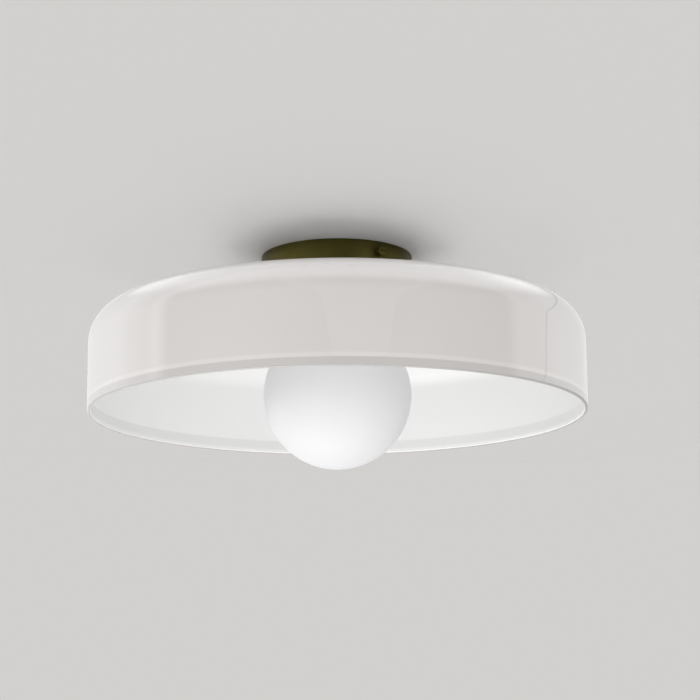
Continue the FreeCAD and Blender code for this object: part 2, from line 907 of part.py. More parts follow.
def earth_screw():
    """Earth screw from below, through its washer and the tag into the strap."""
    seat = strap_under_z - tag_thickness - earth_washer_thickness
    place = point(-earth_screw_reach, 0, seat)
    head = rod(earth_head_radius, place, place - UP * earth_head_height)
    shank = rod(earth_screw_radius, place, point(-earth_screw_reach, 0, -earth_screw_setback))
    return head.fuse(shank).removeSplitter()


def lead(name, places):
    """Round insulated lead along straight runs joined by tangent arcs."""
    edges = []
    radii = []
    here = places[0]
    for before, corner, after in zip(places, places[1:], places[2:]):
        inward = (corner - before).normalize()
        outward = (after - corner).normalize()
        half_turn = inward.getAngle(outward) / 2
        setback = lead_run_share * min(before.distanceToPoint(corner), corner.distanceToPoint(after))
        radius = setback / math.tan(half_turn)
        radii.append(round(radius, 1))
        start = corner - inward * setback
        end = corner + outward * setback
        bisector = (outward - inward).normalize()
        middle = corner + bisector * (radius / math.cos(half_turn) - radius)
        edges.append(Part.makeLine(here, start))
        edges.append(Part.Arc(start, middle, end).toShape())
        here = end
    edges.append(Part.makeLine(here, places[-1]))
    path = Part.Wire(edges)
    direction = (places[1] - places[0]).normalize()
    section = Part.Wire(Part.makeCircle(lead_radius, places[0], direction))
    sweep = Part.BRepOffsetAPI.MakePipeShell(path)
    sweep.add(section)
    sweep.build()
    sweep.makeSolid()
    solid = sweep.shape()
    expected = math.pi * lead_radius ** 2 * path.Length
    ratio = round(solid.Volume / expected, 4)
    print(name, "radii", radii, "length", round(path.Length, 1), "volume ratio", ratio)
    return solid


def lead_start_x():
    return block_far_side - lead_insertion


def holder_lead(name, side):
    """Lead from an outer pole, round the end of the terminal block and into the lampholder."""
    y = side * pole_places()[-1]
    swing = side * lead_side_swing
    reach = holder_terminal_reach / math.hypot(lead_turn_in, lead_side_swing)
    return lead(name, [
        point(lead_start_x() - clamp_length / 2, y, wire_z),
        point(lead_stand_off, y, wire_z),
        point(lead_stand_off, swing, wire_z),
        point(lead_turn_in, swing, holder_terminal_z),
        point(lead_turn_in * reach, swing * reach, holder_terminal_z),
    ])


def earth_lead():
    """Lead from the middle pole, down and round the lampholder to the earth tag."""
    return lead("earth_lead", [
        point(lead_start_x() - clamp_length / 2, 0, wire_z),
        point(lead_stand_off, 0, wire_z),
        point(lead_stand_off, 0, -earth_drop_height),
        point(earth_side_reach, earth_side_swing, -earth_round_height),
        point(0, earth_round_reach, -earth_round_height),
        point(-earth_side_reach, earth_side_swing, -earth_drop_height),
        point(-earth_rise_reach, earth_rise_swing, -earth_rise_height),
        point(-earth_rise_reach, 0, tag_barrel_z()),
        point(-tag_barrel_start - lead_insertion, 0, tag_barrel_z()),
    ])


def both_sides(shape):
    return [shape, across(shape)]


def terminal_pair(shape):
    """A holder terminal piece at each lead."""
    return [around_axis(shape, side * holder_terminal_angle) for side in (-1, 1)]


os.makedirs("parts", exist_ok=True)

save("glass_shade", [glass_shade()])
save("canopy", [canopy()])
save("upper_gasket", [upper_gasket()])
save("lower_gasket", [lower_gasket()])
save("mounting_strap", [mounting_strap()])
save("ear_nuts", both_sides(ear_nut()))
save("side_washer_front", [side_washer()])
save("side_washer_back", [across(side_washer())])
save("side_screw_front", [side_screw()])
save("side_screw_back", [across(side_screw())])
save("lampholder_shell", [lampholder_shell()])
save("lampholder_cap", [lampholder_cap()])
save("lampholder_core", [lampholder_core()])
save("screw_shell", [screw_shell()])
save("centre_contact", [centre_contact()])
save("holder_terminals", terminal_pair(holder_terminal()))
save("holder_grub_screws", terminal_pair(holder_grub()))
save("upper_ring_nut", [upper_ring_nut()])
save("shade_ring", [shade_ring()])
save("bulb_globe", [bulb_globe()])
save("bulb_collar", [bulb_collar()])
save("bulb_cap", [bulb_cap()])
save("bulb_insulator", [bulb_insulator()])
save("bulb_tip", [bulb_tip()])
save("bulb_stem", [bulb_stem()])
save("stick_wires", stick_wires())
save("light_sticks", light_sticks())
save("driver_board", [driver_board()])
save("terminal_block", [terminal_block()])
save("terminal_clamps", terminal_clamps())
save("clamp_screws", clamp_screws())
save("block_screws", block_screws())
save("earth_tag", [earth_tag()])
save("earth_washer", [earth_washer()])
save("earth_screw", [earth_screw()])
save("line_lead", [holder_lead("line_lead", 1)])
save("neutral_lead", [holder_lead("neutral_lead", -1)])
save("earth_lead", [earth_lead()])
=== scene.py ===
import math

import bpy
from mathutils import Euler, Matrix, Vector


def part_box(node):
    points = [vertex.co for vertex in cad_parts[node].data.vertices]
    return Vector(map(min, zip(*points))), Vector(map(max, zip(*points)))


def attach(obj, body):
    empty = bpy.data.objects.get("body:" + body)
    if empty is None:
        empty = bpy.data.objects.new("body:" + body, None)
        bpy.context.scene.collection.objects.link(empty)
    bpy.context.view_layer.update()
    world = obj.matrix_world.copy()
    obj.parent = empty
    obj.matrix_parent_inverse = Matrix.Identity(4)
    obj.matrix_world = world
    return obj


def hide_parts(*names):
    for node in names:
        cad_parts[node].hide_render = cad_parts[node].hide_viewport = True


bl_info = {
    "name": "Glass ceiling light",
    "version": (1, 0, 0),
    "blender": (4, 5, 0),
    "location": "View3D > Sidebar > Ceiling light",
    "description": "Dresses the packed ceiling light: cased opal shade, canopy, lamp and its stage",
    "category": "Object",
}

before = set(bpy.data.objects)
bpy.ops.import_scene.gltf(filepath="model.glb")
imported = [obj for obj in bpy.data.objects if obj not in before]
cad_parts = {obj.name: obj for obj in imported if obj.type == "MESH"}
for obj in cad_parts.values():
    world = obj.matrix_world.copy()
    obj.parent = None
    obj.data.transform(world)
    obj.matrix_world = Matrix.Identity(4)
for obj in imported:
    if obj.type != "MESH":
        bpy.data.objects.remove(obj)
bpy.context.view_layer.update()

MM = 0.001
FULL_TURN = 2 * math.pi
HIDDEN_OVERLAP = 0.05 * MM
MERGE_DISTANCE = 0.001 * MM
CUT_OVERRUN = 0.2 * MM
SMOOTH_ANGLE = math.radians(32)
ROWS_PER_THREAD = 8

shade_low, shade_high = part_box("glass_shade")
canopy_low, canopy_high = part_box("canopy")
globe_low, globe_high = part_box("bulb_globe")
holder_low, holder_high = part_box("lampholder_shell")
screw_low, screw_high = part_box("side_screw_front")
washer_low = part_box("side_washer_front")[0]
screw_z = (screw_low[2] + screw_high[2]) / 2


class ShadeSettings(bpy.types.PropertyGroup):
    wall: bpy.props.FloatProperty(
        name="Wall", description="Thickness of the blown glass", default=3.2 * MM, unit="LENGTH")
    casing: bpy.props.FloatProperty(
        name="Clear casing", description="Thickness of the clear layer outside the opal one",
        default=1.1 * MM, unit="LENGTH")
    shoulder: bpy.props.FloatProperty(
        name="Shoulder", description="Radius of the round shoulder", default=30.6 * MM, unit="LENGTH")
    hole: bpy.props.FloatProperty(
        name="Hole", description="Radius of the hole for the lampholder", default=21.4 * MM, unit="LENGTH")
    # The lip band is partly the opal's greyer thin end and partly painted shade, darker than the rest of the
    # outside.
    band: bpy.props.FloatProperty(
        name="Lip band", description="Height of the greyer end of the opal layer, seen from outside",
        default=7.3 * MM, unit="LENGTH")
    # The ridge is a painted highlight: a lighter band above the lip band, where light catches just above the
    # lip.
    ridge: bpy.props.FloatProperty(
        name="Ridge", description="Height of the lighter ridge above the lip band",
        default=3.2 * MM, unit="LENGTH")
    inner_lip: bpy.props.FloatProperty(
        name="Inner lip", description="Height of the pale lip inside the shade",
        default=3.5 * MM, unit="LENGTH")
    inner_band: bpy.props.FloatProperty(
        name="Inner band", description="Height of the greyer band above the pale lip inside the shade",
        default=8.0 * MM, unit="LENGTH")
    # The roof's colour here is painted shade under the roof.
    roof_fade: bpy.props.FloatProperty(
        name="Roof fade", description="Height over which the inside turns into the roof's colour",
        default=20.0 * MM, unit="LENGTH")
    opal_colour: bpy.props.FloatVectorProperty(
        name="Opal", description="Colour of the opal layer", subtype="COLOR", default=(0.71, 0.682, 0.668))
    # Painted shade over the lip band, besides the opal's greyer thin end.
    band_shade_colour: bpy.props.FloatVectorProperty(
        name="Lip band", description="Colour of the opal layer's greyer end", subtype="COLOR",
        default=(0.605, 0.583, 0.57))
    # Painted light: the inside is painted lighter than the outside of the same opal, for the light bouncing
    # round in the shade.
    lit_inside_colour: bpy.props.FloatVectorProperty(
        name="Inside", description="Colour of the opal layer inside the shade", subtype="COLOR",
        default=(0.94, 0.935, 0.93))
    lip_colour: bpy.props.FloatVectorProperty(
        name="Inner lip", description="Colour of the lip inside the shade", subtype="COLOR",
        default=(0.92, 0.92, 0.91))
    inner_band_colour: bpy.props.FloatVectorProperty(
        name="Inner band", description="Colour of the band inside the shade", subtype="COLOR",
        default=(0.83, 0.84, 0.825))
    # Painted shade: the opal under the roof is painted darker, to tone down the strong light from below.
    roof_shade_colour: bpy.props.FloatVectorProperty(
        name="Under the roof", description="Colour of the opal layer under the roof", subtype="COLOR",
        default=(0.76, 0.755, 0.75))
    glass_tint: bpy.props.FloatVectorProperty(
        name="Clear glass", description="Faint tint of the clear glass", subtype="COLOR",
        default=(0.93, 0.925, 0.92))


class CanopySettings(bpy.types.PropertyGroup):
    wall: bpy.props.FloatProperty(
        name="Wall", description="Thickness of the spun metal", default=1.2 * MM, unit="LENGTH")
    corner: bpy.props.FloatProperty(
        name="Corner", description="Radius round the canopy's foot", default=2.4 * MM, unit="LENGTH")
    rim_edge: bpy.props.FloatProperty(
        name="Rim edge", description="Small radius on the canopy's rim", default=0.35 * MM, unit="LENGTH")
    hole: bpy.props.FloatProperty(
        name="Hole", description="Radius of the hole for the lampholder", default=20.5 * MM, unit="LENGTH")
    screw_hole: bpy.props.FloatProperty(
        name="Screw hole", description="Radius of the holes for the side screws",
        default=2.25 * MM, unit="LENGTH")
    bronze: bpy.props.FloatVectorProperty(
        name="Bronze", description="Colour of the burnished bronze", subtype="COLOR",
        default=(0.110, 0.098, 0.026))


class ScrewSettings(bpy.types.PropertyGroup):
    head: bpy.props.FloatProperty(
        name="Head", description="Radius of the screw's head", default=3.75 * MM, unit="LENGTH")
    shank: bpy.props.FloatProperty(
        name="Shank", description="Radius over the thread", default=2.0 * MM, unit="LENGTH")
    ease: bpy.props.FloatProperty(
        name="Ease", description="Radius round the head and bevel of the tip",
        default=0.5 * MM, unit="LENGTH")
    pitch: bpy.props.FloatProperty(
        name="Pitch", description="Pitch of the thread", default=0.7 * MM, unit="LENGTH")
    thread: bpy.props.FloatProperty(
        name="Thread", description="Depth of the thread", default=0.35 * MM, unit="LENGTH")
    slot_width: bpy.props.FloatProperty(
        name="Slot width", description="Width of the driver slot", default=1.0 * MM, unit="LENGTH")
    slot_depth: bpy.props.FloatProperty(
        name="Slot depth", description="Depth of the driver slot", default=1.2 * MM, unit="LENGTH")


class LampSettings(bpy.types.PropertyGroup):
    mouth: bpy.props.FloatProperty(
        name="Mouth", description="Radius of the globe's mouth", default=15.0 * MM, unit="LENGTH")
    wall: bpy.props.FloatProperty(
        name="Wall", description="Thickness of the globe's glass", default=1.0 * MM, unit="LENGTH")
    colour: bpy.props.FloatVectorProperty(
        name="Satin opal", description="Colour of the globe", subtype="COLOR", default=(0.785, 0.78, 0.79))


class HolderSettings(bpy.types.PropertyGroup):
    mouth: bpy.props.FloatProperty(
        name="Mouth", description="Radius inside the shell's mouth", default=16.4 * MM, unit="LENGTH")
    bore: bpy.props.FloatProperty(
        name="Bore", description="Radius inside the shell above its step", default=18.4 * MM, unit="LENGTH")
    step: bpy.props.FloatProperty(
        name="Step", description="Height of the step that carries the ceramic core",
        default=4.1 * MM, unit="LENGTH")
    ease: bpy.props.FloatProperty(
        name="Ease", description="Bevel on the shell's edges", default=0.4 * MM, unit="LENGTH")
    pitch: bpy.props.FloatProperty(
        name="Pitch", description="Pitch of the outer thread", default=2.5 * MM, unit="LENGTH")
    thread: bpy.props.FloatProperty(
        name="Thread", description="Depth of the outer thread", default=0.55 * MM, unit="LENGTH")


class StageSettings(bpy.types.PropertyGroup):
    view_turn: bpy.props.FloatProperty(
        name="View turn", description="Direction of the camera round the light", subtype="ANGLE",
        default=math.radians(-33.0))
    view_drop: bpy.props.FloatProperty(
        name="View drop", description="Angle of the camera below the shade's lip", subtype="ANGLE",
        default=math.radians(10.18))
    distance: bpy.props.FloatProperty(
        name="Distance", description="From the camera to the middle of the lip",
        default=1.6578, unit="LENGTH")
    aim_turn: bpy.props.FloatProperty(
        name="Aim turn", description="How far right of the axis the camera points", subtype="ANGLE",
        default=math.radians(0.38))
    aim_rise: bpy.props.FloatProperty(
        name="Aim rise", description="How far above the horizon the camera points", subtype="ANGLE",
        default=math.radians(12.09))
    roll: bpy.props.FloatProperty(
        name="Roll", description="Roll of the camera", subtype="ANGLE", default=math.radians(-0.435))
    lens: bpy.props.FloatProperty(
        name="Lens", description="Focal length in millimetres", default=100.95)
    backdrop: bpy.props.FloatVectorProperty(
        name="Backdrop", description="Colour behind the light", subtype="COLOR",
        default=(0.6445, 0.6308, 0.6172))
    floor_colour: bpy.props.FloatVectorProperty(
        name="Floor", description="Colour of the floor", subtype="COLOR", default=(0.72, 0.71, 0.70))
    floor_depth: bpy.props.FloatProperty(
        name="Floor depth", description="Depth of the floor below the ceiling", default=2.4, unit="LENGTH")
    floor_radius: bpy.props.FloatProperty(
        name="Floor radius", description="Radius of the floor", default=1.3, unit="LENGTH")
    ceiling_radius: bpy.props.FloatProperty(
        name="Ceiling radius", description="Radius of the ceiling", default=1.7, unit="LENGTH")
    even_light: bpy.props.FloatProperty(
        name="Even light", description="Strength of the light from all round", default=0.62)
    room: bpy.props.FloatProperty(
        name="Room in gloss", description="Strength of the room that only gloss shows", default=0.48)
    overhead_panel: bpy.props.FloatProperty(
        name="Overhead panel", description="Strength of the panel overhead that only gloss shows",
        default=3.1)
    left_panel: bpy.props.FloatProperty(
        name="Left panel", description="Strength of the panel at the left that only gloss shows",
        default=1.85)
    right_panel: bpy.props.FloatProperty(
        name="Right panel", description="Strength of the panel at the right that only gloss shows",
        default=1.05)


# modelling helpers


def deselect():
    if bpy.context.object and bpy.context.object.mode != "OBJECT":
        bpy.ops.object.mode_set(mode="OBJECT")
    bpy.ops.object.select_all(action="DESELECT")


def arc(centre_r, centre_z, radius, start, end, count):
    """Points along an arc, between two angles in degrees measured from outwards to upwards."""
    angles = [math.radians(start + (end - start) * k / count) for k in range(count + 1)]
    return [(centre_r + radius * math.cos(a), centre_z + radius * math.sin(a)) for a in angles]


def even_rows(radius, low, high, rows):
    """Points up or down a straight wall in even rows."""
    return [(radius, low + (high - low) * k / rows) for k in range(rows + 1)]


def lathe(name, outline, steps):
    """Closed solid spun about Z from a closed outline of (radius, height) points."""
    deselect()
    bpy.ops.mesh.primitive_plane_add(size=MM, location=(0, 0, 0))
    piece = bpy.context.object
    piece.name = name
    bpy.ops.object.mode_set(mode="EDIT")
    bpy.ops.mesh.select_all(action="SELECT")
    bpy.ops.mesh.merge(type="CENTER")
    bpy.ops.transform.translate(value=(outline[0][0], 0, outline[0][1]))
    here = outline[0]
    for there in outline[1:] + outline[:1]:
        step = (there[0] - here[0], 0, there[1] - here[1])
        bpy.ops.mesh.extrude_region_move(TRANSFORM_OT_translate={"value": step})
        here = there
    bpy.ops.mesh.select_all(action="SELECT")
    bpy.ops.mesh.remove_doubles(threshold=MERGE_DISTANCE)
    bpy.ops.mesh.select_all(action="SELECT")
    bpy.ops.mesh.spin(steps=steps, angle=FULL_TURN, center=(0, 0, 0), axis=(0, 0, 1))
    bpy.ops.mesh.select_all(action="SELECT")
    bpy.ops.mesh.remove_doubles(threshold=MERGE_DISTANCE)
    bpy.ops.mesh.normals_make_consistent(inside=False)
    bpy.ops.object.mode_set(mode="OBJECT")
    bpy.ops.object.shade_smooth_by_angle(angle=SMOOTH_ANGLE)
    return piece


def thread(piece, low, high, outer, depth, pitch):
    """Move the skin of a spun piece in and out along a helix, between two heights."""
    for vertex in piece.data.vertices:
        x, y, z = vertex.co
        radius = math.hypot(x, y)
        if abs(radius - outer) > depth / 4 or not low < z < high:
            continue
        phase = (z / pitch + math.atan2(y, x) / FULL_TURN) % 1.0
        tooth = abs(2 * phase - 1)
        fade = min(1.0, (z - low) / pitch, (high - z) / pitch)
        scale = (radius - depth * tooth * fade) / radius
        vertex.co.x = x * scale
        vertex.co.y = y * scale
    piece.data.update()


def cut_away(piece, cutter):
    """Cut one shape out of a piece and remove the cutter."""
    deselect()
    piece.select_set(True)
    bpy.context.view_layer.objects.active = piece
    modifier = piece.modifiers.new("Cut", "BOOLEAN")
    modifier.operation = "DIFFERENCE"
    modifier.solver = "EXACT"
    modifier.object = cutter
    bpy.ops.object.modifier_apply(modifier=modifier.name)
    bpy.data.objects.remove(cutter, do_unlink=True)
    bpy.ops.object.shade_smooth_by_angle(angle=SMOOTH_ANGLE)


def drill(piece, radius, start, end):
    """Drill a round hole through a piece between two points."""
    deselect()
    start, end = Vector(start), Vector(end)
    along = end - start
    bpy.ops.mesh.primitive_cylinder_add(
        vertices=48, radius=radius, depth=along.length, location=(start + end) / 2,
        rotation=along.to_track_quat("Z", "Y").to_euler())
    cut_away(piece, bpy.context.object)


def dress(piece, body, slot, finish, *nodes):
    """Give a new piece its finish and its body, and hide the CAD nodes that it stands for."""
    piece.data.materials.clear()
    piece.data.materials.append(finishes[finish])
    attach(piece, body)
    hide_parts(*nodes)


# material helpers


def colour4(rgb):
    return (*rgb, 1.0)


def toned(rgb, factor):
    """Colour made darker or lighter by a factor."""
    return tuple(min(1.0, c * factor) for c in rgb)


def empty_tree(owner):
    """Node tree of a material or world, switched on and cleared."""
    owner.use_nodes = True
    owner.node_tree.nodes.clear()
    return owner.node_tree


def feed(tree, socket, value):
    """Link an output to an input, or set the input to a plain value."""
    if isinstance(value, bpy.types.NodeSocket):
        tree.links.new(value, socket)
    else:
        socket.default_value = value


def add(tree, kind, place, *values, **named):
    """New node, fed with outputs or plain values.

    Unnamed values go to the inputs in order. A named one goes to the input of that name, with underscores
    for spaces, or else to the node itself.
    """
    node = tree.nodes.new(kind)
    node.location = place
    for key, value in named.items():
        socket = node.inputs.get(key.replace("_", " "))
        if socket is None:
            setattr(node, key, value)
        else:
            feed(tree, socket, value)
    for socket, value in zip(node.inputs, values):
        feed(tree, socket, value)
    return node


def maths(tree, operation, place, *values):
    """Result of an operation on outputs or plain values."""
    return add(tree, "ShaderNodeMath", place, *values, operation=operation).outputs["Value"]


def vector_maths(tree, operation, place, *values):
    """Outputs of an operation on vectors."""
    return add(tree, "ShaderNodeVectorMath", place, *values, operation=operation).outputs


def ramp(tree, value, span, ends, place):
    """Soft step between two results while a value crosses a span."""
    return add(tree, "ShaderNodeMapRange", place, Value=value, From_Min=span[0], From_Max=span[1],
               To_Min=ends[0], To_Max=ends[1], interpolation_type="SMOOTHSTEP").outputs["Result"]


def mix_colours(tree, place, share, first, second):
    """Colour between two colours."""
    node = add(tree, "ShaderNodeMix", place, data_type="RGBA")
    for index, value in ((0, share), (6, first), (7, second)):
        feed(tree, node.inputs[index], value)
    return node.outputs[2]


def coordinates(tree, place):
    """Outputs of a Texture Coordinate node."""
    return add(tree, "ShaderNodeTexCoord", place).outputs


def new_group(name, inputs, outputs):
    """Empty group with named sockets, and the outputs that carry what it is given."""
    group = bpy.data.node_groups.new(name, "ShaderNodeTree")
    for label, kind, default in inputs:
        group.interface.new_socket(name=label, in_out="INPUT", socket_type=kind).default_value = default
    for label, kind in outputs:
        group.interface.new_socket(name=label, in_out="OUTPUT", socket_type=kind)
    return group, add(group, "NodeGroupInput", (-1100, 0)).outputs


def give(group, **results):
    """Put a group's results on its outputs."""
    add(group, "NodeGroupOutput", (500, 0), **results)


def place_group(tree, name, place, **values):
    """Instance of a shared effect with its own values."""
    node = tree.nodes.new("ShaderNodeGroup")
    node.node_tree = bpy.data.node_groups[name]
    node.name = name
    node.location = place
    for key, value in values.items():
        feed(tree, node.inputs[key.replace("_", " ")], value)
    return node


# shared effects


def tone_group():
    """Slow drift between two colours over a surface."""
    group, given = new_group(
        "Tone drift",
        [("Scale", "NodeSocketFloat", 20.0), ("Colour A", "NodeSocketColor", (1, 1, 1, 1)),
         ("Colour B", "NodeSocketColor", (0.9, 0.9, 0.9, 1))],
        [("Colour", "NodeSocketColor")])
    noise = add(group, "ShaderNodeTexNoise", (-450, 0), Vector=coordinates(group, (-700, -200))["Object"],
                Scale=given["Scale"], Detail=3.0, Roughness=0.55)
    level = add(group, "ShaderNodeMapRange", (-200, 0), Value=noise.outputs["Fac"], From_Min=0.35,
                From_Max=0.65)
    give(group, Colour=mix_colours(group, (50, 0), level.outputs["Result"], given["Colour A"],
                                   given["Colour B"]))


def grain_group():
    """Fine grain as a height, and a roughness that varies with it. Stretch sets its direction."""
    group, given = new_group(
        "Fine grain",
        [("Scale", "NodeSocketFloat", 400.0), ("Stretch", "NodeSocketVector", (1, 1, 1)),
         ("Rough Low", "NodeSocketFloat", 0.3), ("Rough High", "NodeSocketFloat", 0.5)],
        [("Height", "NodeSocketFloat"), ("Roughness", "NodeSocketFloat")])
    stretched = vector_maths(group, "MULTIPLY", (-450, -100), coordinates(group, (-700, -250))["Object"],
                             given["Stretch"])
    noise = add(group, "ShaderNodeTexNoise", (-230, 0), Vector=stretched["Vector"], Scale=given["Scale"],
                Detail=4.0, Roughness=0.6)
    rough = add(group, "ShaderNodeMapRange", (50, -100), Value=noise.outputs["Fac"], From_Min=0.3,
                From_Max=0.7, To_Min=given["Rough Low"], To_Max=given["Rough High"])
    give(group, Height=noise.outputs["Fac"], Roughness=rough.outputs["Result"])


def skin_group():
    """Mask of the outer skin of a shell round a middle point on the axis, from its normal."""
    group, given = new_group(
        "Outer skin", [("Middle", "NodeSocketVector", (0, 0, 0))], [("Mask", "NodeSocketFloat")])
    place = coordinates(group, (-700, -200))
    away = vector_maths(group, "SUBTRACT", (-450, 0), place["Object"], given["Middle"])
    along = vector_maths(group, "DOT_PRODUCT", (-200, 0), away["Vector"], place["Normal"])
    give(group, Mask=maths(group, "GREATER_THAN", (50, 0), along["Value"], 0.0))


def height_band_group():
    """Mask of a band between two heights, with soft edges."""
    group, given = new_group(
        "Height band",
        [("Low", "NodeSocketFloat", 0.0), ("High", "NodeSocketFloat", 0.01),
         ("Edge", "NodeSocketFloat", 0.001)],
        [("Mask", "NodeSocketFloat")])
    axes = add(group, "ShaderNodeSeparateXYZ", (-700, -200), coordinates(group, (-900, -200))["Object"])
    passed = []
    for row, level in enumerate(("Low", "High")):
        ahead = maths(group, "SUBTRACT", (-450, -300 * row), axes.outputs["Z"], given[level])
        edges = maths(group, "DIVIDE", (-250, -300 * row), ahead, given["Edge"])
        passed.append(ramp(group, edges, (-0.5, 0.5), (0.0, 1.0), (-50, -300 * row)))
    give(group, Mask=maths(group, "SUBTRACT", (250, 0), *passed))


# finishes


def surface(name, colour, second=None, drift=25.0, rough=(0.3, 0.5), grain=500.0, stretch=(1, 1, 1),
            bump=0.15, depth=0.02 * MM, **constants):
    """Finish with a drift of colour, varied roughness and a fine relief."""
    material = bpy.data.materials.new(name)
    tree = empty_tree(material)
    tone = place_group(tree, "Tone drift", (-200, 150), Scale=drift, Colour_A=colour4(colour),
                       Colour_B=colour4(second or toned(colour, 0.9)))
    fine = place_group(tree, "Fine grain", (-200, -150), Scale=grain, Stretch=stretch,
                       Rough_Low=rough[0], Rough_High=rough[1])
    relief = add(tree, "ShaderNodeBump", (100, -250), Strength=bump, Distance=depth,
                 Height=fine.outputs["Height"])
    shader = add(tree, "ShaderNodeBsdfPrincipled", (350, 0), Base_Color=tone.outputs["Colour"],
                 Roughness=fine.outputs["Roughness"], Normal=relief.outputs["Normal"], **constants)
    add(tree, "ShaderNodeOutputMaterial", (950, 0), name="Out", Surface=shader.outputs["BSDF"])
    return material


def let_light_through(material, share, bounced=1.0, where=1.0, middle=1.0):
    """Let a share of the light fall through a surface on its way to what lies behind.

    Where the mask is, bounced light passes by a further share. Round the axis, under the canopy, all light
    passes by the middle's share.
    """
    under_canopy = (60 * MM, 95 * MM)
    tree = material.node_tree
    into = tree.nodes["Out"].inputs["Surface"]
    shader = into.links[0].from_socket
    path = add(tree, "ShaderNodeLightPath", (-100, 500)).outputs
    passed = maths(tree, "MULTIPLY_ADD", (0, 300), where, bounced - 1.0, 1.0)
    weak = maths(tree, "MULTIPLY", (100, 400), path["Is Diffuse Ray"], passed)
    light = maths(tree, "MAXIMUM", (250, 450), path["Is Shadow Ray"], weak)
    level = vector_maths(tree, "MULTIPLY", (50, 800), coordinates(tree, (-100, 800))["Object"], (1, 1, 0))
    reach = vector_maths(tree, "LENGTH", (200, 800), level["Vector"])
    fade = ramp(tree, reach["Value"], under_canopy, (share * middle, share), (350, 750))
    part = maths(tree, "MULTIPLY", (550, 350), light, fade)
    air = add(tree, "ShaderNodeBsdfTransparent", (400, -350))
    mix = add(tree, "ShaderNodeMixShader", (750, 100), part, shader, air.outputs["BSDF"])
    feed(tree, into, mix.outputs["Shader"])
    return material


def clear_glass(name, tint, roughness):
    """Clear glass that light falls through, so what lies behind it is lit as in air."""
    material = surface(name, tint, toned(tint, 0.985), drift=12.0, rough=(roughness, roughness * 1.6),
                       grain=9.0, bump=0.05, depth=0.3 * MM, IOR=1.5, Transmission_Weight=1.0)
    return let_light_through(material, 1.0)


def opal_glass(shade):
    """Opal layer: greyer at its outer end, with painted shade there and a painted highlight above it.

    Inside it is painted lighter than outside, for the light bouncing round in the shade, and painted shade
    darkens the roof.
    """
    material = surface("Opal layer", shade.opal_colour, drift=5.0, rough=(0.25, 0.27), grain=60.0, bump=0.02)
    tree = material.node_tree
    tip_shade_tone, highlight_tone, drift_tone = 0.8, 1.09, 0.985
    tip_edge, lip_edge, highlight_edge, band_edge = 0.5 * MM, 1.0 * MM, 1.8 * MM, 2.0 * MM
    base = shade_low[2]
    tip_top = base + shade.wall / 2
    band_top = base + shade.band
    lip_top = base + shade.inner_lip
    roof_base = shade_high[2] - shade.shoulder / 2
    # Outside: painted shade, darkest at the tip, over the lip band, which is also the opal's greyer thin end;
    # above it a painted highlight band.
    outer_bands = (
        (base, tip_top, tip_edge, toned(shade.band_shade_colour, tip_shade_tone)),
        (tip_top, band_top, lip_edge, shade.band_shade_colour),
        (band_top, band_top + shade.ridge, highlight_edge, toned(shade.opal_colour, highlight_tone)),
    )
    # Inside: the pale lip, the greyer band above it, and painted shade under the roof.
    inner_bands = (
        (base, lip_top, lip_edge, shade.lip_colour),
        (lip_top, lip_top + shade.inner_band, band_edge, shade.inner_band_colour),
        (roof_base, shade_high[2] + shade.roof_fade, shade.roof_fade, shade.roof_shade_colour),
    )

    def banded(plain, bands, row):
        """Colour with a band of another colour at each pair of heights."""
        colour = colour4(plain)
        for column, (low, high, edge, tint) in enumerate(bands):
            mask = place_group(tree, "Height band", (-1550 + 250 * column, row - 300), Low=low, High=high,
                               Edge=edge)
            colour = mix_colours(tree, (-1300 + 250 * column, row - 100), mask.outputs["Mask"], colour,
                                 colour4(tint))
        return colour

    middle = (0, 0, (shade_low[2] + shade_high[2]) / 2)
    # The inside takes its painted lighter colour, the outside the opal's colour with its painted bands.
    outside = place_group(tree, "Outer skin", (-800, -200), Middle=middle).outputs["Mask"]
    colour = mix_colours(tree, (-550, 200), outside, banded(shade.lit_inside_colour, inner_bands, 900),
                         banded(shade.opal_colour, outer_bands, 300))
    darker = add(tree, "ShaderNodeVectorMath", (-380, 50), colour, operation="SCALE", Scale=drift_tone)
    tone = tree.nodes["Tone drift"].inputs
    feed(tree, tone["Colour A"], colour)
    feed(tree, tone["Colour B"], darker.outputs["Vector"])
    facing = add(tree, "ShaderNodeNewGeometry", (-800, -500)).outputs["Backfacing"]
    inner = maths(tree, "SUBTRACT", (-350, -400), 1.0, maths(tree, "MAXIMUM", (-550, -400), outside, facing))
    return let_light_through(material, 0.99, bounced=0.85, where=inner, middle=0.05)


